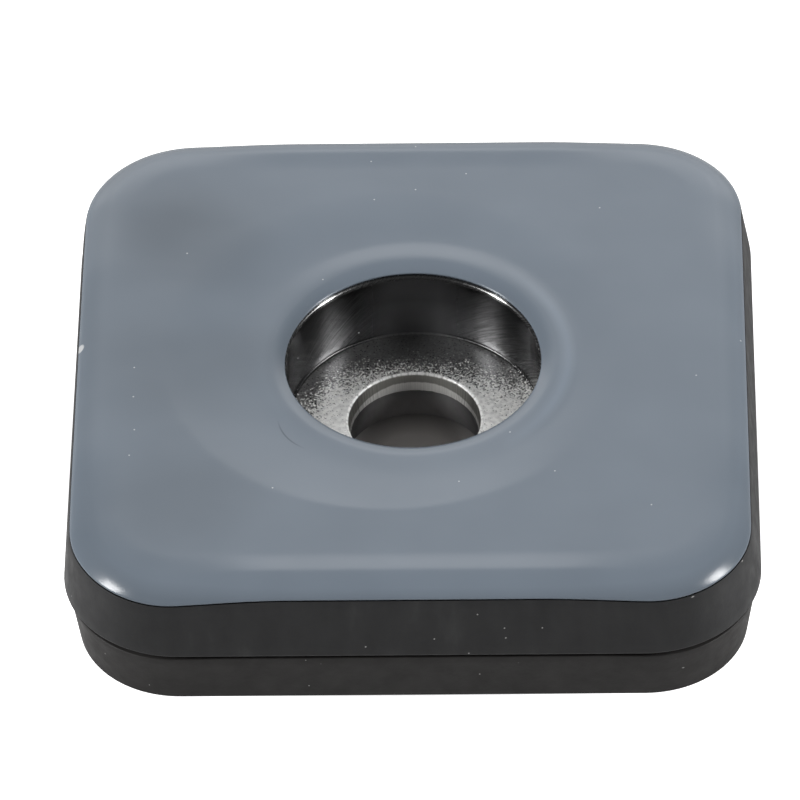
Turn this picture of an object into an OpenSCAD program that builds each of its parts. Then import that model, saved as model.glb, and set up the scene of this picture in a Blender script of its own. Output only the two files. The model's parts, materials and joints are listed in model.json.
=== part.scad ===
// Screw-on furniture slider, lying on its base with the sliding face up.
// The origin is at the centre of the base, +Z points out of the sliding face.
// Four layers share one axis: the base pad, the carrier, the screw cup and the sliding cap.

/* [Whole slider] */
// Width across the flats, measured at the seam where the slider is widest
side = 25; // [20:0.5:40]
// Height from the base to the flat of the sliding face
height = 5.45; // [5:0.05:8]
// Corner radius at the seam
corner_r = 4.2; // [3.6:0.1:6]
// Height of the seam between base pad and carrier
seam_h = 2.45; // [1.8:0.05:3]

/* [Sliding cap] */
// Thickness of the cap
cap_t = 0.35; // [0.25:0.05:0.5]
// Outer radius of the cap's rounded border
border_r = 1.35; // [1:0.05:2]
// Angle through which the border turns down
border_angle = 52; // [30:1:60]
// Distance of the cap's lower edge inside the widest outline
cap_inset = 0.37; // [0.2:0.01:0.6]
// Angle through which the lip of the cap turns into the mouth of the cup
lip_angle = 37; // [25:1:60]

/* [Screw cup] */
// Inner diameter of the cup, which takes the screw's head
cup_d = 9.26; // [8.5:0.02:11]
// Thickness of the drawn sheet
cup_t = 0.8; // [0.5:0.05:0.9]
// Rounding of the sheet's upper edge where the flange turns into the wall
mouth_r = 0.57; // [0.4:0.01:0.7]
// Radius of the sheet's upper side where the wall bends into the floor
fillet_r = 0.25; // [0.15:0.05:0.6]
// Diameter of the flange under the cap
flange_d = 17.4; // [15.5:0.1:18.5]
// Diameter of the pierced hole for the screw's shank
hole_d = 4.8; // [4:0.1:5.5]

/* [Base pad] */
// Thickness of the pad under the floor of the cup
pad_floor = 1.4; // [1:0.05:1.7]
// How far the pad stands back from the carrier at the seam
pad_setback = 0.15; // [0.05:0.01:0.3]
// How far the pad's side leans in from the seam to the base
pad_draft = 0.32; // [0.1:0.01:0.6]
// Chamfer of the pad's lower edge
pad_chamfer = 0.12; // [0.06:0.02:0.4]
// Extra diameter of the pad's hole over the hole in the cup
pad_hole_extra = 0.4; // [0.2:0.1:1]

/* [Fits] */
// Room around the cup's wall in the carrier and in the pad
cup_clearance = 0.1; // [0.05:0.05:0.2]
// Room around the rim of the flange in the carrier
flange_clearance = 0.1; // [0.05:0.05:0.2]

/* [Hidden] */
$fn = 96;

cap_colour = [0.49, 0.53, 0.57];
carrier_colour = [0.18, 0.18, 0.185];
cup_colour = [0.75, 0.76, 0.77];
pad_colour = [0.21, 0.205, 0.205];

// Extra length of a cutter beyond the face that it cuts
overcut = 1;

// The four corner centres lie at plus and minus this distance in X and Y
corner_at = side / 2 - corner_r;

// Flat underside of the cap, where the flange lies
cap_under = height - cap_t;

// Border of the cap, in a section measured outwards from the corner centres
cap_edge = corner_r - cap_inset;
border_at = cap_edge - border_r * sin(border_angle);
border_z = height - border_r;
cap_edge_z = border_z + border_r * cos(border_angle);

// Screw cup
cup_r = cup_d / 2;
cup_outer_r = cup_r + cup_t;
floor_top = pad_floor + cup_t;
flange_under = cap_under - cup_t;
mouth_at = cup_r + mouth_r;
mouth_z = cap_under - mouth_r;
fillet_at = cup_r - fillet_r;
fillet_z = floor_top + fillet_r;
cup_outer_fillet = fillet_r + cup_t;

// Cup room in the carrier and in the pad
room_r = cup_outer_r + cup_clearance;
room_fillet = cup_outer_fillet + cup_clearance;

// Base pad, in the same section as the cap's border
pad_top = corner_r - pad_setback;
pad_bottom = pad_top - pad_draft;

// A pie slice of up to a right angle, between two angles in degrees
module sector(r, from, to) {
  reach = 2 * r;
  intersection() {
    circle(r);
    polygon([[0, 0], [reach * cos(from), reach * sin(from)], [reach * cos(to), reach * sin(to)]]);
  }
}

// The outer part of such a slice, as the section of a bent sheet
module arc_band(inner_r, outer_r, from, to) {
  difference() {
    sector(outer_r, from, to);
    circle(inner_r);
  }
}

// Carries a section round the rounded square, with a square block between the corner centres
module around_square(block_z, block_top) {
  for (turn = [0 : 3])
    rotate(90 * turn)
      translate([corner_at, corner_at, 0]) {
        rotate_extrude(angle = 90) children();
        rotate([90, 0, 0]) linear_extrude(2 * corner_at) children();
      }
  translate([-corner_at, -corner_at, block_z])
    cube([2 * corner_at, 2 * corner_at, block_top - block_z]);
}

module border_section() {
  translate([0, cap_under]) square([border_at, cap_t]);
  translate([border_at, border_z]) arc_band(border_r - cap_t, border_r, 90 - border_angle, 90);
}

module lip_section() {
  translate([mouth_at, mouth_z]) arc_band(mouth_r, mouth_r + cap_t, 90, 90 + lip_angle);
}

module carrier_section() {
  translate([0, seam_h]) square([border_at, cap_under - seam_h]);
  translate([border_at, border_z]) sector(border_r - cap_t, 90 - border_angle, 90);
  polygon([[border_at, seam_h], [corner_r, seam_h], [cap_edge, cap_edge_z], [border_at, border_z]]);
}

module pad_section() {
  polygon([
    [0, 0],
    [pad_bottom - pad_chamfer, 0],
    [pad_bottom, pad_chamfer],
    [pad_top, seam_h],
    [0, seam_h]
  ]);
}

module cup_section() {
  translate([mouth_at, flange_under]) square([flange_d / 2 - mouth_at, cup_t]);
  translate([mouth_at, mouth_z]) sector(mouth_r, 90, 180);
  translate([cup_r, fillet_z]) square([cup_t, mouth_z - fillet_z]);
  translate([fillet_at, fillet_z]) arc_band(fillet_r, cup_outer_fillet, 270, 360);
  translate([hole_d / 2, pad_floor]) square([fillet_at - hole_d / 2, cup_t]);
}

// Outer form of the cup's lower end, with its clearance
module cup_room_section() {
  translate([0, pad_floor]) square([room_r - room_fillet, height]);
  translate([0, pad_floor + room_fillet]) square([room_r, height]);
  translate([room_r - room_fillet, pad_floor + room_fillet]) circle(room_fillet);
}

module base_pad() {
  color(pad_colour)
    difference() {
      around_square(0, seam_h) pad_section();
      rotate_extrude() cup_room_section();
      translate([0, 0, -overcut])
        cylinder(d = hole_d + pad_hole_extra, h = pad_floor + 2 * overcut);
    }
}

module carrier() {
  color(carrier_colour)
    difference() {
      around_square(seam_h, cap_under) carrier_section();
      translate([0, 0, seam_h - overcut]) cylinder(r = room_r, h = height);
      translate([0, 0, flange_under])
        cylinder(r = flange_d / 2 + flange_clearance, h = cup_t + overcut);
    }
}

module screw_cup() {
  color(cup_colour)
    rotate_extrude() cup_section();
}

module sliding_cap() {
  color(cap_colour) {
    difference() {
      around_square(cap_under, height) border_section();
      translate([0, 0, cap_under - overcut]) cylinder(r = mouth_at, h = cap_t + 2 * overcut);
    }
    rotate_extrude() lip_section();
  }
}

base_pad();
carrier();
screw_cup();
sliding_cap();
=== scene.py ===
import bmesh
import bpy
import json
import math
from mathutils import Matrix, Vector


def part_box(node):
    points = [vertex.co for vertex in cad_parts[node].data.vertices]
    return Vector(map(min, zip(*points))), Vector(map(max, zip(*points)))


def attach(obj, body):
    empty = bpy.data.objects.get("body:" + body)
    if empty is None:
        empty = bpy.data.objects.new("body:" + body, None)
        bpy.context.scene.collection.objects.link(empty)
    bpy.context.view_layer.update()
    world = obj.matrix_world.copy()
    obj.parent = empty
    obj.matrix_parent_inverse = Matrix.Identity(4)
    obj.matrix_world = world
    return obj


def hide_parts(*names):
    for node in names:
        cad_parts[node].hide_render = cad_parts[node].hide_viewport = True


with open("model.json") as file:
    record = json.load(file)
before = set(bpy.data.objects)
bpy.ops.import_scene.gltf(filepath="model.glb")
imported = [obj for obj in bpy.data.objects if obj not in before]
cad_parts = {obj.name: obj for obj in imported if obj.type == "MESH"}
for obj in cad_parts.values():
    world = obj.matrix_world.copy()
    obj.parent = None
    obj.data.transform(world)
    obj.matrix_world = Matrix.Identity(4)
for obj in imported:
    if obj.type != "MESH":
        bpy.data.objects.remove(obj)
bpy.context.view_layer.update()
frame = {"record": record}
mm = 0.001
tiny = 0.001 * mm   # places closer than this count as one

# sizes taken from the CAD frame
mounts = {mount["name"]: mount for mount in frame["record"]["mounts"]}
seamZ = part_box("carrier")[0].z
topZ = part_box("sliding_cap")[1].z
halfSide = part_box("carrier")[1].x
holeRadius = mounts["screw_hole"]["dims"]["r_mm"] * mm
cupRadius = mounts["screw_head_recess"]["dims"]["r_mm"] * mm
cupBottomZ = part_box("screw_cup")[0].z
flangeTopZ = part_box("screw_cup")[1].z
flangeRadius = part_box("screw_cup")[1].x
sheet = mounts["screw_hole"]["dims"]["length_mm"] * mm
flangeUnder = flangeTopZ - sheet
cupFloorZ = cupBottomZ + sheet
print("frame loaded, side", round(2 * halfSide / mm, 2), "mm, height", round(topZ / mm, 2), "mm")

outline = {
    "cornerRadius": 4.2 * mm,   # at the seam
    "cornerSteps": 24,
    "sideCuts": 31,
    "firstRing": 1 * mm,        # from a face's border towards a round hole in it
    "plugSides": 160,           # of the plugs that cut round rooms
    "plugSteps": 8,
}
cornerAt = halfSide - outline["cornerRadius"]   # the corner centres, in x and y


# small helpers for modelling by hand

def clearSelection():
    if bpy.context.object and bpy.context.object.mode != "OBJECT":
        bpy.ops.object.mode_set(mode="OBJECT")
    bpy.ops.object.select_all(action="DESELECT")


def selectOnly(piece):
    clearSelection()
    piece.select_set(True)
    bpy.context.view_layer.objects.active = piece


def takePiece(name):
    # the primitive just added: named, with its place in its mesh, and opened for editing
    piece = bpy.context.object
    piece.name = name
    piece.data.name = name
    bpy.ops.object.transform_apply(location=True, rotation=True, scale=True)
    bpy.ops.object.mode_set(mode="EDIT")
    return piece


def pick(piece, kind, test):
    # selects the vertices, edges or faces that pass the test, and nothing else
    bpy.ops.mesh.select_mode(type=kind)
    bpy.ops.mesh.select_all(action="DESELECT")
    mesh = bmesh.from_edit_mesh(piece.data)
    items = {"VERT": mesh.verts, "EDGE": mesh.edges, "FACE": mesh.faces}[kind]
    for item in items:
        if test(item):
            item.select_set(True)
    mesh.select_flush_mode()
    bmesh.update_edit_mesh(piece.data)


def startRoundedSquare(name, half, z):
    # a flat face with the slider's rounded corners, left in edit mode and selected
    clearSelection()
    bpy.ops.mesh.primitive_plane_add(size=2 * half, location=(0, 0, z))
    piece = takePiece(name)
    bpy.ops.mesh.select_all(action="SELECT")
    bpy.ops.mesh.bevel(offset=half - cornerAt, segments=outline["cornerSteps"], profile=0.5, affect="VERTICES")
    pick(piece, "EDGE", lambda edge: edge.calc_length() > cornerAt)
    bpy.ops.mesh.subdivide(number_cuts=outline["sideCuts"])
    pick(piece, "FACE", lambda face: True)
    return piece


def stepIn(thickness, depth):
    # one ring of the section: inwards by thickness, along the face's normal by depth
    bpy.ops.mesh.inset(thickness=thickness, depth=depth, use_even_offset=True, use_boundary=True)


def stepAlong(points):
    # carries the selected face along a list of (half width, height along its normal) points
    for (r0, z0), (r1, z1) in zip(points, points[1:]):
        stepIn(r0 - r1, z1 - z0)


def ringStep(fromRadius, toRadius, rise):
    # extrudes the selected edge loop to another radius and height
    bpy.ops.mesh.extrude_region_move(TRANSFORM_OT_translate={"value": (0, 0, rise)})
    scale = toRadius / fromRadius
    bpy.ops.transform.resize(value=(scale, scale, 1), center_override=(0, 0, 0))


def followSection(points):
    # carries the selected loop along a list of (radius, height) points
    for (r0, z0), (r1, z1) in zip(points, points[1:]):
        ringStep(r0, r1, z1 - z0)


def arcPoints(centre, radius, start, end, steps):
    # points of an arc in the (radius, height) section, angles in degrees
    points = []
    for step in range(steps + 1):
        angle = math.radians(start + (end - start) * step / steps)
        points.append((centre[0] + radius * math.cos(angle), centre[1] + radius * math.sin(angle)))
    return points


def linePoints(start, end, steps):
    return [tuple(a + (b - a) * step / steps for a, b in zip(start, end)) for step in range(steps + 1)]


def openRoundHole(piece, radius, z, cuts):
    # opens a round hole in the selected face, with rings of faces between its border and the hole
    stepIn(outline["firstRing"], 0)
    bpy.ops.transform.tosphere(value=1, center_override=(0, 0, z))
    mesh = bmesh.from_edit_mesh(piece.data)
    scale = radius / next(vert.co.xy.length for vert in mesh.verts if vert.select)
    bpy.ops.transform.resize(value=(scale, scale, 1), center_override=(0, 0, z))
    bpy.ops.mesh.delete(type="ONLY_FACE")
    pick(piece, "EDGE", lambda edge: isSpoke(edge, radius, z))
    bpy.ops.mesh.subdivide_edgering(number_cuts=cuts, interpolation="LINEAR")


def isSpoke(edge, radius, z):
    # an edge that runs from the round hole outwards on the flat face
    reach = sorted(vert.co.xy.length for vert in edge.verts)
    flat = abs(sum(vert.co.z for vert in edge.verts) / 2 - z) < tiny
    return flat and abs(reach[0] - radius) < tiny and reach[1] > radius + 10 * tiny


def isBoundary(edge):
    return len(edge.link_faces) < 2


def edgeRadius(edge):
    return sum(vert.co.xy.length for vert in edge.verts) / 2


def squareReach(place):
    # half width of the rounded square that passes through a place
    outX = max(abs(place.x) - cornerAt, 0)
    outY = max(abs(place.y) - cornerAt, 0)
    if outX or outY:
        return cornerAt + math.hypot(outX, outY)
    return max(abs(place.x), abs(place.y))


def smoothStep(value, start, end):
    share = min(max((value - start) / (end - start), 0), 1)
    return share * share * (3 - 2 * share)


def smoothByAngle(piece, degrees):
    selectOnly(piece)
    bpy.ops.object.shade_smooth_by_angle(angle=math.radians(degrees))


def closePiece(piece, smoothAngle):
    # merges doubles, turns the faces outwards and leaves edit mode
    bpy.ops.mesh.select_all(action="SELECT")
    bpy.ops.mesh.remove_doubles(threshold=0.1 * tiny)
    bpy.ops.mesh.normals_make_consistent(inside=False)
    smoothByAngle(piece, smoothAngle)


def applyModifier(piece, kind, **settings):
    selectOnly(piece)
    modifier = piece.modifiers.new(kind.lower(), kind)
    for key, value in settings.items():
        setattr(modifier, key, value)
    bpy.ops.object.modifier_apply(modifier=modifier.name)


def cutRound(piece, radius, lowZ, highZ, bottomRound=0):
    # takes a round plug out of a piece, straight or with a rounded bottom edge
    clearSelection()
    bpy.ops.mesh.primitive_cylinder_add(vertices=outline["plugSides"], radius=radius, depth=highZ - lowZ,
                                        location=(0, 0, (lowZ + highZ) / 2))
    plug = takePiece("plug")
    if bottomRound:
        pick(plug, "EDGE", lambda edge: max(vert.co.z for vert in edge.verts) < lowZ + tiny)
        bpy.ops.mesh.bevel(offset=bottomRound, segments=outline["plugSteps"], profile=0.5, affect="EDGES")
    bpy.ops.object.mode_set(mode="OBJECT")
    applyModifier(piece, "BOOLEAN", operation="DIFFERENCE", solver="EXACT", object=plug)
    selectOnly(plug)
    bpy.ops.object.delete()


# sliding cap: a thin film, rolled down at its border and into the mouth of the cup

cap = {
    "thickness": 0.35 * mm,
    "slack": 0.05 * mm,        # the film stands off the sheet by this much at the mouth
    "edgeRound": 0.05 * mm,
    "edgeSteps": 3,
    "sharpAngle": 60,          # edges that turn by more than this get the rounding
    "smoothAngle": 50,
    "borderRadius": 1.35 * mm,
    "borderAngle": 52,
    "edgeInset": 0.37 * mm,    # inside the widest outline
    "lipAngle": 37,
    "mouthRadius": 0.57 * mm,  # of the sheet under the lip
    "borderSteps": 12,
    "lipSteps": 8,
    "faceCuts": 60,
    # how far the flat lies under the ridge along the border, at the front and at the back
    "ridgeFront": 0.06 * mm,
    "ridgeBack": 0.025 * mm,
    "ridgeEnds": (-10 * mm, 10 * mm),   # in y
    "ridgeFrom": 10.15 * mm,
    "ridgeWidth": 1.15 * mm,
    # shallow dish over the flange of the cup, a little off the axis and deeper to one side
    "dishAt": (-0.8 * mm, 0.45 * mm),
    "dishDrop": 0.11 * mm,
    "dishRadius": 5.3 * mm,
    "dishWidth": 3.15 * mm,
    "dishTurn": 245,
    "dishLean": 0.35,
    "dishBend": 1.5,           # on that side it is steeper towards its outer edge, a soft crease
    "creaseSpread": (0.1, 0.75),        # cosines of the turn away from that side
    # raised bead round the mouth, higher at the back and on the right
    "beadRadius": 5.3 * mm,
    "beadWidth": 0.95 * mm,
    "beadRise": 0.008 * mm,
    "beadBackRise": 0.055 * mm,
    "beadBackTurn": 48,
    "beadBackSpread": (-0.3, 0.7),      # cosines of the turn away from it
    # the lip reaches further in at the front
    "lipReach": 0.17 * mm,
    "lipSpread": (0, 0.9),              # sines of the turn to the front
    "lipWidth": 1.1 * mm,
    # the film hangs lower at its corners, from the shoulder outwards
    "droop": {"left": 0.27 * mm, "right": 0.19 * mm, "back": 0.15 * mm},
    "droopFrom": 4.5 * mm,
    "droopOver": 5.0 * mm,
    "droopInset": (2.3 * mm, 0.5 * mm),
    # and it hangs over further along the left side
    "leftReach": 0.11 * mm,
    "leftInset": (2 * mm, 0.5 * mm),
    "leftEnds": (7.5 * mm, 11 * mm),
    "settleRise": (0.15 * mm, 2.1 * mm),   # above the seam, where both fade in
}
mouthAt = cupRadius + cap["mouthRadius"]


def settleShare(place):
    return smoothStep(place.z, *(seamZ + rise for rise in cap["settleRise"]))


def droopAt(place):
    # how far the film, and the carrier's shoulder under it, lie lower at a place
    corner = "back" if place.y > 0 else "left" if place.x < 0 else "right"
    near = min(abs(place.x), abs(place.y))
    share = smoothStep(near, cap["droopFrom"], cap["droopFrom"] + cap["droopOver"])
    share *= smoothStep(squareReach(place), *(halfSide - inset for inset in cap["droopInset"]))
    return cap["droop"][corner] * share * settleShare(place)


def leftReachAt(place):
    share = smoothStep(-place.x, *(halfSide - inset for inset in cap["leftInset"]))
    share *= 1 - smoothStep(abs(place.y), *cap["leftEnds"])
    return cap["leftReach"] * share * settleShare(place)


def settleFilm(piece):
    # by vertex, because two pieces have to follow the very same fall
    for vert in piece.data.vertices:
        vert.co -= Vector((leftReachAt(vert.co), 0, droopAt(vert.co)))
    piece.data.update()


def reliefAt(place):
    # the pressed film isn't flat: a ridge along the border, a dish over the flange, a bead at the mouth
    back = smoothStep(place.y, *cap["ridgeEnds"])
    depth = cap["ridgeFront"] + (cap["ridgeBack"] - cap["ridgeFront"]) * back
    ridgeTo = cap["ridgeFrom"] + cap["ridgeWidth"]
    lift = -depth * (1 - smoothStep(squareReach(place), cap["ridgeFrom"], ridgeTo))
    turn = math.atan2(place.y, place.x)
    toDish = math.cos(turn - math.radians(cap["dishTurn"]))
    drop = cap["dishDrop"] * (1 + cap["dishLean"] * toDish)
    fromDish = (place.xy - Vector(cap["dishAt"])).length
    share = min(max((fromDish - cap["dishRadius"]) / cap["dishWidth"], 0), 1)
    crease = smoothStep(toDish, *cap["creaseSpread"])
    lift -= drop * (1 - crease * share ** cap["dishBend"] - (1 - crease) * smoothStep(share, 0, 1))
    toBack = math.cos(turn - math.radians(cap["beadBackTurn"]))
    rise = cap["beadRise"] + cap["beadBackRise"] * smoothStep(toBack, *cap["beadBackSpread"])
    fromBead = abs(place.xy.length - cap["beadRadius"])
    return lift + rise * (1 - smoothStep(fromBead, 0, cap["beadWidth"]))


def lipShiftAt(place):
    front = smoothStep(-place.y / place.xy.length, *cap["lipSpread"])
    return cap["lipReach"] * front * (1 - smoothStep(place.xy.length, cupRadius, cupRadius + cap["lipWidth"]))


def shapeCapFace(piece):
    # by vertex, because a soft push is too coarse for a relief this shallow
    mesh = bmesh.from_edit_mesh(piece.data)
    for vert in mesh.verts:
        vert.co += Vector((0, lipShiftAt(vert.co), reliefAt(vert.co)))
    bmesh.update_edit_mesh(piece.data)


def makeSlidingCap():
    border = cap["borderRadius"]
    edgeHalf = halfSide - cap["edgeInset"]
    section = arcPoints((0, 0), border, 90 - cap["borderAngle"], 90, cap["borderSteps"])
    edgeZ = topZ - border + section[0][1]
    piece = startRoundedSquare("slidingCap", edgeHalf, edgeZ)
    stepAlong(section)
    openRoundHole(piece, mouthAt, topZ, cap["faceCuts"])
    pick(piece, "EDGE", lambda edge: isBoundary(edge) and edgeRadius(edge) < mouthAt + tiny)
    lipRadius = cap["mouthRadius"] + cap["thickness"]
    lipCentre = (mouthAt, topZ - lipRadius)
    followSection(arcPoints(lipCentre, lipRadius, 90, 90 + cap["lipAngle"], cap["lipSteps"]))
    shapeCapFace(piece)
    closePiece(piece, cap["sharpAngle"])
    applyModifier(piece, "SOLIDIFY", thickness=cap["thickness"] - cap["slack"], offset=-1, use_even_offset=True)
    applyModifier(piece, "BEVEL", width=cap["edgeRound"], segments=cap["edgeSteps"], limit_method="ANGLE",
                  angle_limit=math.radians(cap["sharpAngle"]))
    settleFilm(piece)
    smoothByAngle(piece, cap["smoothAngle"])
    return piece


slidingCap = makeSlidingCap()
print("sliding cap", len(slidingCap.data.polygons), "faces")


# carrier: black upper body, widest at the seam

carrier = {
    "seamRound": 0.15 * mm,
    "gap": 0.05 * mm,            # dark line under the edge of the cap
    "lipInset": 0.03 * mm,       # the shoulder's upper edge lies this far inside the film's edge
    "flankOver": 0.012 * mm,     # and the top of the flank this far outside it
    "shoulderRound": 0.04 * mm,
    "shoulderTurn": (0.004 * mm, 0.008 * mm),   # middle of that rounding, in from the film's edge and down
    "underGap": 0.01 * mm,       # between the carrier and the film over it
    "underTurn": 4,              # degrees that it goes on under the film's edge
    "clearance": 0.1 * mm,       # round the cup
    "overcut": 1 * mm,
    "flankSteps": 6,
    "footSteps": 6,
    "underSteps": 8,
    "smoothAngle": 40,
}
roomRadius = cupRadius + sheet + carrier["clearance"]


def makeCarrierBody():
    border = cap["borderRadius"]
    turn = math.radians(cap["borderAngle"])
    edge = Vector((halfSide - cap["edgeInset"], topZ - border * (1 - math.cos(turn))))
    centre = Vector((edge.x - border * math.sin(turn), topZ - border))
    along = Vector((math.sin(turn), math.cos(turn)))      # along the cut edge of the film
    below = Vector((math.cos(turn), -math.sin(turn)))     # square to it, downwards
    inner = border - cap["thickness"]
    shelf = centre + along * inner + below * carrier["gap"]
    lip = edge - along * carrier["lipInset"] + below * carrier["gap"]
    flankTop = (edge.x + carrier["flankOver"], lip.y - carrier["shoulderRound"])
    start = (halfSide, seamZ + carrier["seamRound"])
    turnIn, turnDown = carrier["shoulderTurn"]
    underStart = 90 - cap["borderAngle"] - carrier["underTurn"]
    section = linePoints(start, flankTop, carrier["flankSteps"])
    section += [(edge.x - turnIn, lip.y - turnDown), tuple(lip), tuple(shelf)]
    section += arcPoints(centre, inner - carrier["underGap"], underStart, 90, carrier["underSteps"])
    piece = startRoundedSquare("carrierBody", *start)
    stepAlong(section)
    pick(piece, "EDGE", isBoundary)
    foot = carrier["seamRound"]
    followSection(arcPoints((halfSide - foot, seamZ + foot), foot, 0, -90, carrier["footSteps"]))
    bpy.ops.mesh.edge_face_add()
    closePiece(piece, carrier["smoothAngle"])
    cutRound(piece, flangeRadius + carrier["clearance"], flangeUnder, topZ)
    cutRound(piece, roomRadius, seamZ - carrier["overcut"], topZ)
    settleFilm(piece)
    smoothByAngle(piece, carrier["smoothAngle"])
    return piece


carrierBody = makeCarrierBody()
print("carrier", len(carrierBody.data.polygons), "faces")


# base pad: black lower layer, leaning in to the base

pad = {
    "topHalf": halfSide - 0.17 * mm,
    "bottomHalf": halfSide - 0.45 * mm,
    "seamRound": 0.04 * mm,
    "grooveHeight": 0.19 * mm,   # dark line under the edge of the carrier
    "grooveDepth": 0.21 * mm,
    "grooveDrop": 0.1 * mm,      # how much taller it is at the front corners
    "grooveDropEnds": (6.5 * mm, 10.5 * mm),
    "bottomRound": 0.13 * mm,
    "baseRing": 0.6 * mm,        # outer ring of the underside, rounding included
    "holeRadius": holeRadius + 0.2 * mm,
    "pocketFillet": 1.15 * mm,
    "overcut": 1 * mm,
    "flankSteps": 6,
    "footSteps": 5,
    "edgeSteps": 3,
    "smoothAngle": 40,
}


def makeBasePad():
    ledge = seamZ - pad["grooveHeight"]
    edgeRound = pad["seamRound"]
    start = (pad["topHalf"], ledge - edgeRound)
    footRound = pad["bottomRound"]
    bottom = pad["bottomHalf"]
    flank = linePoints(start, (bottom, footRound), pad["flankSteps"])
    foot = arcPoints((bottom - footRound, footRound), footRound, 0, -90, pad["footSteps"])
    piece = startRoundedSquare("basePad", *start)
    bpy.ops.mesh.flip_normals()
    stepAlong([(r, -z) for r, z in flank + foot[1:] + [(bottom - pad["baseRing"], 0)]])
    pick(piece, "EDGE", isBoundary)
    inner = start[0] - pad["grooveDepth"]
    edge = arcPoints((start[0] - edgeRound, start[1]), edgeRound, 0, 90, pad["edgeSteps"])
    followSection(edge + [(inner, ledge), (inner, seamZ)])
    bpy.ops.mesh.edge_face_add()
    closePiece(piece, pad["smoothAngle"])
    dropGroove(piece, start[1], ledge)
    cutRound(piece, roomRadius, cupBottomZ, topZ, pad["pocketFillet"])
    cutRound(piece, pad["holeRadius"], -pad["overcut"], topZ)
    smoothByAngle(piece, pad["smoothAngle"])
    return piece


def dropGroove(piece, lowZ, highZ):
    # lowers the ring of the ledge at the front corners
    for vert in piece.data.vertices:
        if vert.co.y < 0 and lowZ - tiny < vert.co.z < highZ + tiny:
            near = min(abs(vert.co.x), abs(vert.co.y))
            vert.co.z -= pad["grooveDrop"] * smoothStep(near, *pad["grooveDropEnds"])


basePad = makeBasePad()
print("base pad", len(basePad.data.polygons), "faces")


# screw cup: drawn sheet with a flange under the cap and a pierced floor

cup = {
    "segments": 192,
    "flangeGap": 0.08 * mm,     # between the flange and the film over it
    "flangeRound": 0.1 * mm,
    "mouthRadius": 0.12 * mm,
    "fillet": 0.1 * mm,
    "neckRound": 0.05 * mm,     # under the flange
    "rimOver": 0.03 * mm,       # the rim is wider than the hole by this much
    "rimRound": 0.09 * mm,      # rolled edge where the punch went in
    "rimFlat": 0.2 * mm,        # where the rings of the floor end
    "burnish": 0.39 * mm,       # smooth part of the pierced edge, the rest is torn
    "burnishOver": 0.01 * mm,
    "tornTaper": 0.05 * mm,
    "tornRound": 0.05 * mm,
    "rimJitter": 0.011 * mm,
    "smoothAngle": 45,
}


def cupSection():
    # once round the sheet: flange, wall, floor, pierced edge, and back on the outside
    bend, fillet, flangeRound = cup["mouthRadius"], cup["fillet"], cup["flangeRound"]
    neck, rimRound, tornRound = cup["neckRound"], cup["rimRound"], cup["tornRound"]
    flangeTop = flangeTopZ - cup["flangeGap"]
    flangeAt = flangeRadius - flangeRound
    bendAt = (cupRadius + bend, flangeTop - bend)
    filletAt = (cupRadius - fillet, cupFloorZ + fillet)
    rim = holeRadius + cup["rimOver"]
    torn = holeRadius - cup["tornTaper"]
    section = [(flangeAt, flangeTop)]
    section += arcPoints(bendAt, bend, 90, 180, 8)
    section += linePoints((cupRadius, bendAt[1]), (cupRadius, filletAt[1]), 6)[1:-1]
    section += arcPoints(filletAt, fillet, 360, 270, 6)
    section += linePoints((filletAt[0], cupFloorZ), (rim + cup["rimFlat"], cupFloorZ), 8)[1:]
    section += arcPoints((rim + rimRound, cupFloorZ - rimRound), rimRound, 90, 180, 6)
    section += [(holeRadius + cup["burnishOver"], cupFloorZ - cup["burnish"])]
    section += [(torn, cupBottomZ + tornRound), (torn + tornRound, cupBottomZ)]
    section += arcPoints(filletAt, fillet + sheet, 270, 360, 14)
    section += arcPoints((cupRadius + sheet + neck, flangeUnder - neck), neck, 180, 90, 3)
    section += [(flangeAt, flangeUnder)]
    section += arcPoints((flangeAt, flangeUnder + flangeRound), flangeRound, -60, 0, 2)
    section += arcPoints((flangeAt, flangeTop - flangeRound), flangeRound, 0, 90, 3)
    return section


def makeScrewCup():
    section = cupSection()
    startRadius, startZ = section[0]
    clearSelection()
    bpy.ops.mesh.primitive_circle_add(vertices=cup["segments"], radius=startRadius, location=(0, 0, startZ))
    piece = takePiece("screwCup")
    pick(piece, "EDGE", lambda edge: True)
    followSection(section)
    bpy.ops.mesh.select_all(action="SELECT")
    bpy.ops.mesh.remove_doubles(threshold=tiny)
    rimReach = holeRadius + cup["rimOver"] + cup["rimRound"] + 10 * tiny
    pick(piece, "VERT", lambda vert: vert.co.xy.length < rimReach)
    bpy.ops.transform.vertex_random(offset=cup["rimJitter"], seed=4)
    closePiece(piece, cup["smoothAngle"])
    return piece


screwCup = makeScrewCup()
print("screw cup", len(screwCup.data.polygons), "faces")


# small helpers for finishes

def setInputs(tree, node, inputs):
    # each input takes another node's output or a fixed value
    for key, value in inputs.items():
        if isinstance(value, bpy.types.NodeSocket):
            tree.links.new(value, node.inputs[key])
        else:
            node.inputs[key].default_value = value


def addNode(tree, kind, inputs=None, **settings):
    node = tree.nodes.new(kind)
    for key, value in settings.items():
        setattr(node, key, value)
    setInputs(tree, node, inputs or {})
    return node


def newFinish(piece, name):
    finish = bpy.data.materials.new(name)
    finish.use_nodes = True
    piece.data.materials.clear()
    piece.data.materials.append(finish)
    tree = finish.node_tree
    place = addNode(tree, "ShaderNodeTexCoord").outputs["Object"]
    return tree, tree.nodes["Principled BSDF"], place


def addRamp(tree, source, stops):
    # stops are places with a colour, or with one number for a grey
    ramp = addNode(tree, "ShaderNodeValToRGB", {"Fac": source})
    elements = ramp.color_ramp.elements
    while len(elements) < len(stops):
        elements.new(0.5)
    for element, (spot, tone) in zip(elements, stops):
        element.position = spot
        element.color = (*tone, 1) if isinstance(tone, tuple) else (tone, tone, tone, 1)
    return ramp.outputs["Color"]


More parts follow.
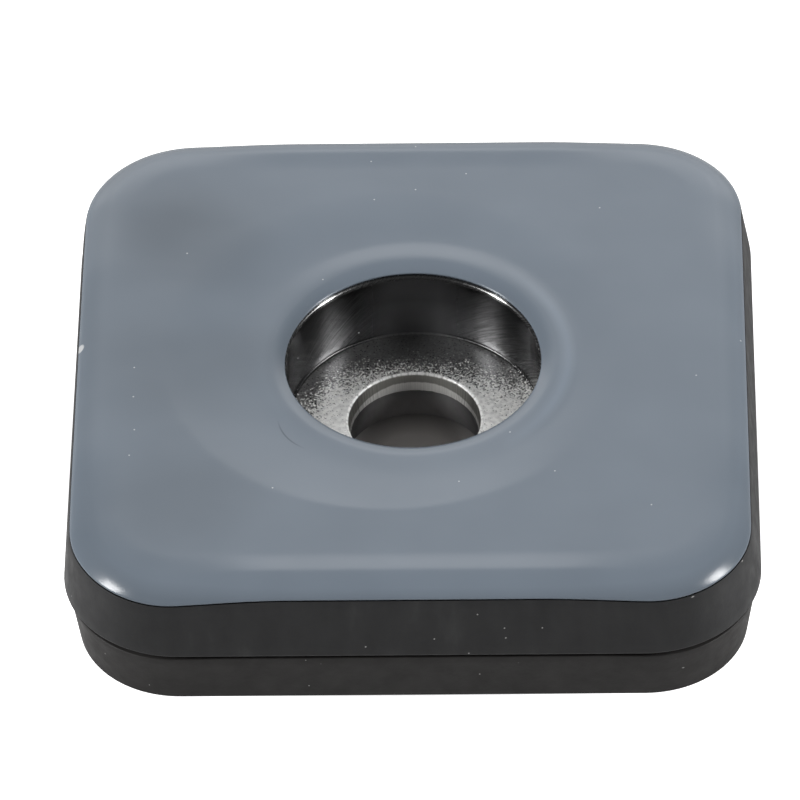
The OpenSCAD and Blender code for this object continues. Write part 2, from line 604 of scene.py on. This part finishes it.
def addNoise(tree, vector, size, detail=3.0, rough=0.5):
    inputs = {"Vector": vector, "Scale": 1 / size, "Detail": detail, "Roughness": rough}
    return addNode(tree, "ShaderNodeTexNoise", inputs).outputs["Fac"]


def addSheen(tree, place, size, tones):
    # uneven roughness, between two values
    low, high = tones
    return addRamp(tree, addNoise(tree, place, size, 4), [(0.3, low), (0.75, high)])


def addBump(tree, height, strength, distance, below=None):
    inputs = {"Height": height, "Strength": strength, "Distance": distance}
    if below:
        inputs["Normal"] = below
    return addNode(tree, "ShaderNodeBump", inputs).outputs["Normal"]


def addGrain(tree, place, grain, detail=3, below=None):
    # an even bump of a size, strength and depth
    size, strength, depth = grain
    return addBump(tree, addNoise(tree, place, size, detail), strength, depth, below)


def addMath(tree, operation, first, second=0):
    return addNode(tree, "ShaderNodeMath", {0: first, 1: second}, operation=operation).outputs["Value"]


def addSum(tree, first, *others):
    for other in others:
        first = addMath(tree, "ADD", first, other)
    return first


def addProduct(tree, first, *others):
    for other in others:
        first = addMath(tree, "MULTIPLY", first, other)
    return first


def addLess(tree, first, *others):
    # the first value less all the others
    for other in others:
        first = addMath(tree, "SUBTRACT", first, other)
    return first


def addVectorMath(tree, operation, inputs, output="Vector"):
    return addNode(tree, "ShaderNodeVectorMath", inputs, operation=operation).outputs[output]


def addMix(tree, factor, first, second):
    inputs = {0: factor, 6: first, 7: second}   # the sockets that a colour mix shows
    return addNode(tree, "ShaderNodeMix", inputs, data_type="RGBA").outputs[2]


def addSplit(tree, vector):
    # a vector's x, y and z
    return addNode(tree, "ShaderNodeSeparateXYZ", {"Vector": vector}).outputs


def addStrip(tree, along, up=0):
    # a surface unrolled to a flat strip
    return addNode(tree, "ShaderNodeCombineXYZ", {"X": along, "Y": up}).outputs["Vector"]


def addReach(tree, place):
    # distance from the slider's axis
    flat = addVectorMath(tree, "MULTIPLY", {0: place, 1: (1, 1, 0)})
    return addVectorMath(tree, "LENGTH", {0: flat}, "Value")


def addZone(tree, value, start, end):
    # 0 at the start, 1 at the end of a range
    inputs = {"Value": value, "From Min": start, "From Max": end}
    return addNode(tree, "ShaderNodeMapRange", inputs).outputs["Result"]


def addCloud(tree, place, cloud):
    # soft patch that fades out over its radius: x, y, z and radius in mm, strength in its core
    core = 0.15   # share of the radius
    *centre, radius = (value * mm for value in cloud[:4])
    away = addVectorMath(tree, "DISTANCE", {0: place, 1: centre}, "Value")
    inputs = {"Value": away, "From Min": radius, "From Max": core * radius, "To Max": cloud[4]}
    return addNode(tree, "ShaderNodeMapRange", inputs, interpolation_type="SMOOTHSTEP").outputs["Result"]


def addSpecks(tree, vector, specks):
    # scattered dots of dust, one in each lucky cell: size of a cell, radius of a dot, share of lucky cells
    cell, radius, share = specks
    cells = addNode(tree, "ShaderNodeTexVoronoi", {"Vector": vector, "Scale": 1 / cell}, voronoi_dimensions="2D")
    dot = addZone(tree, cells.outputs["Distance"], radius / cell, 0.5 * radius / cell)
    chance = addNode(tree, "ShaderNodeSeparateColor", {"Color": cells.outputs["Color"]}).outputs["Red"]
    return addProduct(tree, dot, addMath(tree, "LESS_THAN", chance, share))


sideDust = {
    "colour": (0.3, 0.295, 0.29, 1),
    "specks": (1.2 * mm, 0.034 * mm, 0.2),
    # finer and closer along the seam, between these heights
    "seamSpecks": (0.5 * mm, 0.028 * mm, 0.22),
    "seamLow": (seamZ - 0.6 * mm, seamZ - 0.35 * mm),
    "seamHigh": (seamZ + 0.1 * mm, seamZ),
}


def addSideDust(tree, place, colour):
    # pale specks on the upright sides, for the carrier and the pad alike
    x, y, height = addSplit(tree, place)
    strip = addStrip(tree, addLess(tree, x, y), height)
    seamLow = addZone(tree, height, *sideDust["seamLow"])
    seamHigh = addZone(tree, height, *sideDust["seamHigh"])
    fine = addProduct(tree, addSpecks(tree, strip, sideDust["seamSpecks"]), addProduct(tree, seamLow, seamHigh))
    specks = addMath(tree, "MAXIMUM", addSpecks(tree, strip, sideDust["specks"]), fine)
    return addMix(tree, specks, colour, sideDust["colour"])


# finish of the sliding cap

film = {
    "tones": ((0.3, (0.134, 0.160, 0.192)), (0.7, (0.146, 0.174, 0.208))),
    "toneSize": 5 * mm,
    "sheen": (0.19, 0.255),
    "sheenSize": 1.2 * mm,
    "grain": (0.12 * mm, 0.1, 0.01 * mm),
    "dents": (2.2 * mm, 0.5, 0.02 * mm),
    "ior": 1.4,
    # handling marks, and painted shade and sheen over the waves of the pressed film: place in mm, radius in mm, how
    # much paler or darker
    "clouds": (
        (-8.3, 6.2, 5.4, 4.6, -0.21),
        (-8.6, -1.0, 5.4, 4.6, -0.17),
        (-8.2, -7.4, 5.4, 4.4, -0.17),
        (7.5, 7.0, 5.4, 6.0, 0.04),
        (-9.8, 8.4, 5.4, 3.4, -0.07),
        (-5.6, 0.4, 5.4, 2.6, -0.07),
        (-11.5, 2.5, 5.3, 3.5, -0.06),
    ),
    # painted shade at the lip on the left
    "lipShadeReach": (5.5 * mm, 4.7 * mm),
    "lipShadeX": (-2.5 * mm, -4.4 * mm),
    "lipShadeAmount": 0.15,
    # painted sheen along the bead on the right
    "beadSheenInside": (5.3 * mm, 5.6 * mm),
    "beadSheenOutside": (6.0 * mm, 5.7 * mm),
    "beadSheenX": (3.2 * mm, 5.0 * mm),
    "beadSheenAmount": 0.19,
    # painted shade down the border, darker towards its lower edge, except on the left
    "borderShadeHeight": (5.22 * mm, 4.88 * mm),
    "borderShadeReach": (10 * mm, 11 * mm),
    "borderShadeX": (-12 * mm, -10.5 * mm),
    "borderShadeAmount": 0.18,
    # one curved scratch: centre and radius of its arc, fading edge of its line, soft patch that it lies in
    "scratchArc": (-2.96 * mm, -3.03 * mm, 1.89 * mm),
    "scratchLine": (0.04 * mm, 0.012 * mm),
    "scratchPatch": (-4.48, -4.05, 5.3, 1.05, 0.4),
    # pale chip on the left border, and dust
    "chip": (-12.14, 0.87, 5.02, 0.3, 1),
    "chipEdge": (0.25, 0.6),
    "dust": (0.46, 0.47, 0.48, 1),
    "specks": (1.7 * mm, 0.036 * mm, 0.13),
}


def addFilmScratch(tree, place, x, y):
    centreX, centreY, radius = film["scratchArc"]
    offX = addLess(tree, x, centreX)
    offY = addLess(tree, y, centreY)
    off = addMath(tree, "SQRT", addSum(tree, addProduct(tree, offX, offX), addProduct(tree, offY, offY)))
    line = addZone(tree, addMath(tree, "ABSOLUTE", addLess(tree, off, radius)), *film["scratchLine"])
    return addProduct(tree, line, addCloud(tree, place, film["scratchPatch"]))


def finishCap():
    tree, shader, place = newFinish(slidingCap, "capFilm")
    x, y, height = addSplit(tree, place)
    reach = addReach(tree, place)
    shade = 1.0
    # painted shade and sheen: the clouds, then the lip, the bead and the border, and one scratch
    for cloud in film["clouds"]:
        shade = addSum(tree, addCloud(tree, place, cloud), shade)
    # painted shade at the lip on the left
    paintedShadeAndGlint = addProduct(tree, addZone(tree, reach, *film["lipShadeReach"]), addZone(tree, x, *film["lipShadeX"]))
    # painted sheen along the bead on the right
    beadSheen = addProduct(tree, addZone(tree, reach, *film["beadSheenInside"]), addZone(tree, reach, *film["beadSheenOutside"]),
                       addZone(tree, x, *film["beadSheenX"]))
    # painted shade down the border, towards its lower edge
    borderShade = addProduct(tree, addZone(tree, height, *film["borderShadeHeight"]), addZone(tree, reach, *film["borderShadeReach"]),
                      addZone(tree, x, *film["borderShadeX"]))
    shade = addLess(tree, shade, addProduct(tree, paintedShadeAndGlint, film["lipShadeAmount"]))
    shade = addSum(tree, shade, addProduct(tree, beadSheen, film["beadSheenAmount"]))
    shade = addLess(tree, shade, addProduct(tree, borderShade, film["borderShadeAmount"]), addFilmScratch(tree, place, x, y))
    tint = addRamp(tree, addNoise(tree, place, film["toneSize"], 2), film["tones"])
    clouded = addVectorMath(tree, "SCALE", {0: tint, "Scale": shade})
    chip = addZone(tree, addCloud(tree, place, film["chip"]), *film["chipEdge"])
    specks = addMath(tree, "MAXIMUM", addSpecks(tree, place, film["specks"]), chip)
    grain = addGrain(tree, place, film["grain"])
    setInputs(tree, shader, {
        "Base Color": addMix(tree, specks, clouded, film["dust"]),
        "Roughness": addSheen(tree, place, film["sheenSize"], film["sheen"]),
        "Normal": addGrain(tree, place, film["dents"], 2, grain),
        "IOR": film["ior"],
    })


# finish of the carrier

plastic = {
    "streaks": (1, 1, 0.3),      # the mottling is drawn out upwards
    "toneSize": 0.9 * mm,
    "tones": ((0.3, (0.0105, 0.0105, 0.0112)), (0.62, (0.0155, 0.0155, 0.0162)), (0.8, 0.027)),
    "sheen": (0.4, 0.55),
    "sheenSize": 0.5 * mm,
    "grain": (0.15 * mm, 0.25, 0.02 * mm),
    "gloss": 0.33,
}


def finishCarrier():
    tree, shader, place = newFinish(carrierBody, "carrierPlastic")
    stretch = addNode(tree, "ShaderNodeMapping", {"Vector": place, "Scale": plastic["streaks"]}).outputs["Vector"]
    tint = addRamp(tree, addNoise(tree, stretch, plastic["toneSize"], 4), plastic["tones"])
    setInputs(tree, shader, {
        "Base Color": addSideDust(tree, place, tint),
        "Roughness": addSheen(tree, place, plastic["sheenSize"], plastic["sheen"]),
        "Normal": addGrain(tree, place, plastic["grain"]),
        "Specular IOR Level": plastic["gloss"],
    })


# finish of the base pad

rubber = {
    "toneSize": 1.1 * mm,
    "tones": ((0.3, (0.0205, 0.0194, 0.0189)), (0.7, (0.029, 0.0275, 0.0268))),
    # the cut face of the hole is paler, most of all below, with painted shade at its sides
    "cutReach": (pad["holeRadius"] + 0.06 * mm, pad["holeRadius"] + 0.03 * mm),
    "cutTones": ((0, 0.06), (0.5, (0.26, 0.255, 0.26)), (1, (0.54, 0.53, 0.535))),
    "cutUneven": 0.3,
    "cutUnevenSize": 0.3 * mm,
    "cutSides": (1.2 * mm, 2.2 * mm),
    "cutSideShade": 1.8,
    "sheen": (0.45, 0.6),
    "sheenSize": 0.5 * mm,
    "grain": (0.15 * mm, 0.3, 0.02 * mm),
    "gloss": 0.2,
}


def finishPad():
    tree, shader, place = newFinish(basePad, "padRubber")
    x, y, height = addSplit(tree, place)
    tint = addRamp(tree, addNoise(tree, place, rubber["toneSize"], 4), rubber["tones"])
    inHole = addZone(tree, addReach(tree, place), *rubber["cutReach"])
    lower = addZone(tree, height, cupBottomZ, 0)
    uneven = addProduct(tree, addNoise(tree, place, rubber["cutUnevenSize"], 3), rubber["cutUneven"])
    sideways = addZone(tree, addMath(tree, "ABSOLUTE", x), *rubber["cutSides"])
    # painted shade at the sides of the cut face
    pale = addLess(tree, addSum(tree, lower, uneven), addProduct(tree, sideways, rubber["cutSideShade"]))
    cut = addRamp(tree, addZone(tree, pale, -1, 1), rubber["cutTones"])
    setInputs(tree, shader, {
        "Base Color": addMix(tree, inHole, addSideDust(tree, place, tint), cut),
        "Roughness": addSheen(tree, place, rubber["sheenSize"], rubber["sheen"]),
        "Normal": addGrain(tree, place, rubber["grain"]),
        "Specular IOR Level": rubber["gloss"],
    })


# finish of the screw cup

steel = {
    "metal": 0.89,
    "dull": {"grain": 0.62, "edge": 0.73, "dust": 0.8},   # how much less metal there
    # where the parts of the cup begin and end
    "floorHeight": (cupFloorZ + 0.06 * mm, cupFloorZ + 0.02 * mm),
    "mouthHeight": (flangeTopZ - 0.26 * mm, flangeTopZ - 0.2 * mm),
    "cornerReach": (cupRadius - cupFloorZ - 0.12 * mm, cupRadius - cupFloorZ - 0.08 * mm),   # reach less height
    "edgeReach": (holeRadius + 0.14 * mm, holeRadius + 0.1 * mm),
    # wall: tones at these shares of the way down from the mouth to the floor, darker towards the mouth as painted
    # shade
    "wallTop": flangeTopZ - 0.3 * mm,
    "wallSpots": (0, 0.35, 0.75, 1),
    "wallTones": (0.027, 0.048, 0.118, 0.14),
    "wallBlue": 1.02,
    "wallSheen": (0.14, 0.19),
    # the same at the back, where the wall is satin and has no marks, and is lighter as painted light: it fades in
    # this far from the middle
    "backSpan": (2.3 * mm, 0.9 * mm),
    "backTones": (0.1, 0.135, 0.33, 0.4),
    "backBlue": 1.04,
    "backSheen": (0.4, 0.4, 0.4, 1),
    # marks across the wall
    "markSlant": 36,            # degrees
    "markSize": 0.07 * mm,
    "markStretch": 0.06,
    "markTones": ((0.38, 0.52), (0.62, 1.12)),
    "scratches": ((0.62, 0), (0.72, 1)),
    "scratchBump": (0.3, 0.0015 * mm),
    # painted shade in the corner of the floor: little of it at the back, a bit less beside that
    "cornerShadeTones": ((0.3, (0.035, 0.035, 0.036)), (0.7, 0.045)),
    "shadeSpareSpan": (4.1 * mm, 3.2 * mm),
    "shadeSpareShare": 0.1,
    "backShadeSpare": 0.65,
    # painted glints: the mouth is dark all round but for two bright spots where the lamps glint, places and radii in
    # mm
    "paintedShadeAndGlint": ((-3.2, 3.4, 4.85, 0.55, 1), (3.1, 3.5, 4.85, 0.55, 1)),
    "mouthTones": ((0, 0.1), (1, (0.5, 0.5, 0.49))),
    "mouthSheen": ((0.3, 0.2), (0.7, 0.34)),
    # blasted floor with bright grains, denser towards the hole and the front, and sparse at the left end: the spread
    # is painted light and shade
    "floorTones": ((0.3, 0.8 * 0.34), (0.7, 1.2 * 0.34)),
    "floorSheen": ((0.3, 0.26), (0.7, 0.42)),
    "grainTones": ((0.35, (0.75, 0.75, 0.99 * 0.75)), (0.6, (1.0, 1.0, 0.98))),
    "grainToneSize": 0.2 * mm,
    "grainSize": 0.075 * mm,
    "grainDepth": 0.015 * mm,
    "grainEdge": (0.6, 0.72),
    "inwardReach": (cupRadius - 0.6 * mm, holeRadius + 0.2 * mm),
    "inwardMore": 0.1,
    "forwardY": (3.9 * mm, 0.8 * mm),
    "forwardMore": 0.38,
    "leftX": (-3.2 * mm, -4.1 * mm),
    "leftLess": 0.2,
    "allLess": 0.12,
    # dust on the wall
    "dust": (0.6, 0.6, 0.6, 1),
    "specks": (1.1 * mm, 0.04 * mm, 0.22),
}

# the pierced edge of the cup: torn and pale below, burnished and dark above, with a painted highlight along the rim
piercedEdge = {
    "toothSize": 0.3 * mm,
    "toothHeight": 0.08,
    "tornTones": ((0.47, (1, 0.99, 0.95)), (0.53, (0.34, 0.335, 0.31))),   # by the share of the way up
    # towards the sides the streaks are darker as painted shade
    "sideSpan": (1.5 * mm, 5 * mm),   # way round from the back, where less of it is torn and the streaks are darker
    "sideTorn": 0.22,
    "sideShade": 0.42,
    # painted highlight along the rim
    "rim": ((0.88, 0), (0.95, 1)),
    "rimHighlightTones": ((0.36, (0.55, 0.55, 0.54)), (0.5, (1, 1, 0.98))),
    "streakSize": 0.06 * mm,
    "streakRange": (0, 0.65),
    "streakTones": ((0, 0.05), (0.54, 0.82), (1, 1)),
    "sheen": ((0.3, 0.35), (0.7, 0.5)),
}


def addPiercedEdge(tree, around, away, height):
    # colour and roughness of the hole's edge
    strip = addStrip(tree, around)
    teeth = addNoise(tree, strip, piercedEdge["toothSize"], 3)
    up = addZone(tree, height, cupBottomZ, cupFloorZ)
    uneven = addSum(tree, up, addProduct(tree, addLess(tree, teeth, 0.5), piercedEdge["toothHeight"]))
    sideways = addZone(tree, away, *piercedEdge["sideSpan"])
    tornHeight = addSum(tree, uneven, addProduct(tree, sideways, piercedEdge["sideTorn"]))
    lower = addRamp(tree, tornHeight, piercedEdge["tornTones"])
    # painted shade towards the sides of the hole
    edgeSideShade = addProduct(tree, sideways, piercedEdge["sideShade"])
    streaks = addLess(tree, addNoise(tree, strip, piercedEdge["streakSize"], 2), edgeSideShade)
    lines = addRamp(tree, addZone(tree, streaks, *piercedEdge["streakRange"]), piercedEdge["streakTones"])
    torn = addVectorMath(tree, "MULTIPLY", {0: lower, 1: lines})
    # painted highlight along the rim
    rim = addRamp(tree, uneven, piercedEdge["rim"])
    colour = addMix(tree, rim, torn, addRamp(tree, teeth, piercedEdge["rimHighlightTones"]))
    return colour, addRamp(tree, teeth, piercedEdge["sheen"])


def addWallMarks(tree, around, height):
    # long slanted marks across the wall
    slant = math.radians(steel["markSlant"])
    along = addSum(tree, addProduct(tree, around, math.cos(slant)), addProduct(tree, height, math.sin(slant)))
    across = addLess(tree, addProduct(tree, height, math.cos(slant)), addProduct(tree, around, math.sin(slant)))
    onWall = addStrip(tree, addProduct(tree, along, steel["markStretch"]), across)
    return addNoise(tree, onWall, steel["markSize"], 3)


def addWallTones(tree, down, tones, blue):
    return addRamp(tree, down, [(spot, (tone, tone, blue * tone)) for spot, tone in zip(steel["wallSpots"], tones)])


def addFloorGrains(tree, x, y, reach, grains):
    # grains spread as painted light: more where the floor is lit, fewer where the wall shades it
    inward = addProduct(tree, addZone(tree, reach, *steel["inwardReach"]), steel["inwardMore"])
    forward = addProduct(tree, addZone(tree, y, *steel["forwardY"]), steel["forwardMore"])
    left = addProduct(tree, addZone(tree, x, *steel["leftX"]), steel["leftLess"])
    dense = addLess(tree, addSum(tree, inward, forward), left, steel["allLess"])
    return addZone(tree, addSum(tree, grains, dense), *steel["grainEdge"])


def finishCup():
    tree, shader, place = newFinish(screwCup, "cupSteel")
    # round coordinates: reach from the axis, way round it from the back, height
    x, y, height = addSplit(tree, place)
    reach = addReach(tree, place)
    around = addProduct(tree, addMath(tree, "ARCTAN2", x, y), cupRadius)
    away = addMath(tree, "ABSOLUTE", around)
    onFloor = addZone(tree, height, *steel["floorHeight"])
    onMouth = addZone(tree, height, *steel["mouthHeight"])
    onEdge = addZone(tree, reach, *steel["edgeReach"])
    offEdge = addZone(tree, reach, *reversed(steel["edgeReach"]))
    atBack = addZone(tree, away, *steel["backSpan"])
    # wall
    marks = addWallMarks(tree, around, height)
    scratches = addRamp(tree, marks, steel["scratches"])
    down = addZone(tree, height, steel["wallTop"], cupFloorZ)
    # darker towards the mouth: painted shade
    wallTone = addWallTones(tree, down, steel["wallTones"], steel["wallBlue"])
    wall = addVectorMath(tree, "MULTIPLY", {0: wallTone, 1: addRamp(tree, marks, steel["markTones"])})
    # painted light: the back of the wall lighter than its sides
    colour = addMix(tree, atBack, wall, addWallTones(tree, down, steel["backTones"], steel["backBlue"]))
    # floor, with painted shade in its corner, and bright grains spread as painted light and shade
    grains = addNoise(tree, place, steel["grainSize"], 2, 0.6)
    grain = addProduct(tree, addFloorGrains(tree, x, y, reach, grains), addProduct(tree, onFloor, offEdge))
    colour = addMix(tree, onFloor, colour, addRamp(tree, grains, steel["floorTones"]))
    # painted shade in the corner between the wall and the floor
    sideSpare = addProduct(tree, addZone(tree, away, *steel["shadeSpareSpan"]), steel["shadeSpareShare"])
    spared = addSum(tree, sideSpare, addProduct(tree, atBack, steel["backShadeSpare"]))
    corner = addZone(tree, addLess(tree, reach, height), *steel["cornerReach"])
    cornerShade = addProduct(tree, corner, addLess(tree, 1, spared))
    colour = addMix(tree, cornerShade, colour, addRamp(tree, marks, steel["cornerShadeTones"]))
    grainTone = addRamp(tree, addNoise(tree, place, steel["grainToneSize"], 2), steel["grainTones"])
    colour = addMix(tree, grain, colour, grainTone)
    # mouth and pierced edge
    # painted glints: the mouth dark, bright only at two spots
    paintedShadeAndGlint = addSum(tree, *(addCloud(tree, place, spot) for spot in steel["paintedShadeAndGlint"]))
    colour = addMix(tree, onMouth, colour, addRamp(tree, paintedShadeAndGlint, steel["mouthTones"]))
    edgeColour, edgeSheen = addPiercedEdge(tree, around, away, height)
    colour = addMix(tree, onEdge, colour, edgeColour)
    # a few specks of dust on the wall
    specks = addSpecks(tree, addStrip(tree, around, height), steel["specks"])
    dust = addProduct(tree, specks, addLess(tree, 1, onFloor))
    dull = addSum(tree, *(addProduct(tree, zone, steel["dull"][name])
                          for name, zone in (("grain", grain), ("edge", onEdge), ("dust", dust))))
    low, high = steel["wallSheen"]
    sheen = addMix(tree, atBack, addRamp(tree, scratches, [(0, low), (1, high)]), steel["backSheen"])
    sheen = addMix(tree, onFloor, sheen, addRamp(tree, grains, steel["floorSheen"]))
    sheen = addMix(tree, onMouth, sheen, addRamp(tree, marks, steel["mouthSheen"]))
    scored = addBump(tree, scratches, *steel["scratchBump"])
    setInputs(tree, shader, {
        "Base Color": addMix(tree, dust, colour, steel["dust"]),
        "Metallic": addLess(tree, steel["metal"], dull),
        "Roughness": addMix(tree, onEdge, sheen, edgeSheen),
        "Normal": addBump(tree, grain, 1.0, steel["grainDepth"], scored),
    })


finishCap()
finishCarrier()
finishPad()
finishCup()
print("finishes done")

for piece, node, slot in ((slidingCap, "sliding_cap", "cap_ptfe"), (carrierBody, "carrier", "carrier_plastic"),
                          (basePad, "base_pad", "pad_rubber"), (screwCup, "screw_cup", "cup_steel")):
    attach(piece, "root")
    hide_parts(node)


# studio: camera, floor and lights

shot = {
    "azimuth": 1.607,
    "elevation": 43.417,
    "roll": -1.568,
    "distance": 297.0 * mm,
    "aim": (-0.605 * mm, 3.354 * mm, 0.0),
    "lens": 360,     # mm, and so is the sensor
    "sensor": 36,
    "clip": (0.01, 20),
}
studio = {
    "softboxSize": (0.19, 0.29),
    "softboxDistance": 0.68,
    "softboxElevation": 27,
    "softboxAzimuths": {"softboxLeft": 198, "softboxRight": -11},   # from +X
    "softboxRadiance": 30,
    # brightness of the surroundings by how far back a direction points, -1 is the camera's side
    "surround": ((-1.0, 0.05), (-0.6, 0.05), (0.0, 0.12), (0.5, 0.2), (0.64, 0.35), (0.73, 0.85),
                 (0.8, 2.7), (0.85, 2.8), (0.9, 1.8), (0.96, 1.3), (1.0, 1.2)),
    "backdropSides": (0.7, 0.25),   # how far to the side a direction points, where that fades in
    "backdropRest": 0.35,           # what is left of it outside
    "floorSize": 4,
    "floorTones": ((0.3, 0.58), (0.7, 0.61)),
    "floorToneSize": 60 * mm,
    "floorSheen": 0.8,
    "floorGloss": 0.1,
    # under the slider, as seen through its hole: painted shadow round a warm painted pool of light in the middle
    "underReach": (1.5 * mm, 6 * mm),
    "underTones": ((0, (1, 0.95, 0.92)), (0.25, (0.44, 0.425, 0.42)), (1, 0.6)),
    "underEnd": (6 * mm, 9 * mm),
    # a light table: it glows from below for the camera, and two soft patches light the front corners
    "floorGlow": 1.1,
    "floorGlowReach": (10 * mm, 14 * mm),
    "cornerGlow": ((-16, -8, 0, 8, 0.5), (17, -9, 0, 8, 0.35)),
}


def addToScene(name, data):
    thing = bpy.data.objects.new(name, data)
    bpy.context.scene.collection.objects.link(thing)
    return thing


def makeCamera():
    azimuth = math.radians(shot["azimuth"])
    elevation = math.radians(shot["elevation"])
    level = math.cos(elevation)
    back = Vector((math.sin(azimuth) * level, -math.cos(azimuth) * level, math.sin(elevation)))
    right = (-back).cross(Vector((0, 0, 1))).normalized()
    up = back.cross(right)
    roll = Matrix.Rotation(math.radians(shot["roll"]), 4, "Z")
    turn = Matrix((right, up, back)).transposed().to_4x4() @ roll
    lensData = bpy.data.cameras.new("photoCamera")
    lensData.lens = shot["lens"]
    lensData.sensor_width = shot["sensor"]
    lensData.clip_start, lensData.clip_end = shot["clip"]
    camera = addToScene("photoCamera", lensData)
    camera.matrix_world = Matrix.Translation(Vector(shot["aim"]) + back * shot["distance"]) @ turn
    bpy.context.scene.camera = camera


def makeFloor():
    clearSelection()
    bpy.ops.mesh.primitive_plane_add(size=studio["floorSize"], location=(0, 0, 0))
    floor = bpy.context.object
    floor.name = "floor"
    tree, shader, place = newFinish(floor, "floorPale")
    reach = addReach(tree, place)
    tint = addRamp(tree, addNoise(tree, place, studio["floorToneSize"], 2), studio["floorTones"])
    # painted shadow under the slider, and a warm painted pool of light under its hole
    under = addRamp(tree, addZone(tree, reach, *studio["underReach"]), studio["underTones"])
    seen = addNode(tree, "ShaderNodeLightPath").outputs["Is Camera Ray"]
    glow = addProduct(tree, addZone(tree, reach, *studio["floorGlowReach"]), studio["floorGlow"], seen)
    for patch in studio["cornerGlow"]:
        glow = addSum(tree, addCloud(tree, place, patch), glow)
    setInputs(tree, shader, {
        "Base Color": addMix(tree, addZone(tree, reach, *studio["underEnd"]), under, tint),
        "Roughness": studio["floorSheen"],
        "Specular IOR Level": studio["floorGloss"],
        "Emission Color": (1, 1, 1, 1),
        "Emission Strength": glow,
    })


def makeSoftboxes():
    elevation = math.radians(studio["softboxElevation"])
    level = math.cos(elevation)
    width, tall = studio["softboxSize"]
    for name, turn in studio["softboxAzimuths"].items():
        azimuth = math.radians(turn)
        toLight = Vector((level * math.cos(azimuth), level * math.sin(azimuth), math.sin(elevation)))
        lightData = bpy.data.lights.new(name, "AREA")
        lightData.shape = "RECTANGLE"
        lightData.size = width
        lightData.size_y = tall
        lightData.energy = studio["softboxRadiance"] * math.pi * width * tall
        light = addToScene(name, lightData)
        light.location = toLight * studio["softboxDistance"]
        light.rotation_euler = toLight.to_track_quat("Z", "Y").to_euler()


def makeWorld():
    world = bpy.data.worlds.new("studioWorld")
    bpy.context.scene.world = world
    world.use_nodes = True
    tree = world.node_tree
    tree.nodes.clear()
    x, y, z = addSplit(tree, addNode(tree, "ShaderNodeTexCoord").outputs["Generated"])
    brightest = max(value for spot, value in studio["surround"])
    stops = [((spot + 1) / 2, value / brightest) for spot, value in studio["surround"]]
    tones = addRamp(tree, addZone(tree, y, -1, 1), stops)
    rest = studio["backdropRest"]
    middle = addZone(tree, addMath(tree, "ABSOLUTE", x), *studio["backdropSides"])
    strength = addSum(tree, addProduct(tree, middle, (1 - rest) * brightest), rest * brightest)
    around = addNode(tree, "ShaderNodeBackground", {"Color": tones, "Strength": strength})
    backdrop = addNode(tree, "ShaderNodeBackground", {"Color": (1, 1, 1, 1), "Strength": 1.0})
    seen = addNode(tree, "ShaderNodeLightPath").outputs["Is Camera Ray"]
    mix = addNode(tree, "ShaderNodeMixShader", {0: seen, 1: around.outputs["Background"],
                                                2: backdrop.outputs["Background"]})
    addNode(tree, "ShaderNodeOutputWorld", {"Surface": mix.outputs["Shader"]})


makeCamera()
makeFloor()
makeSoftboxes()
makeWorld()
bpy.context.scene.view_settings.view_transform = "Standard"
print("studio done")
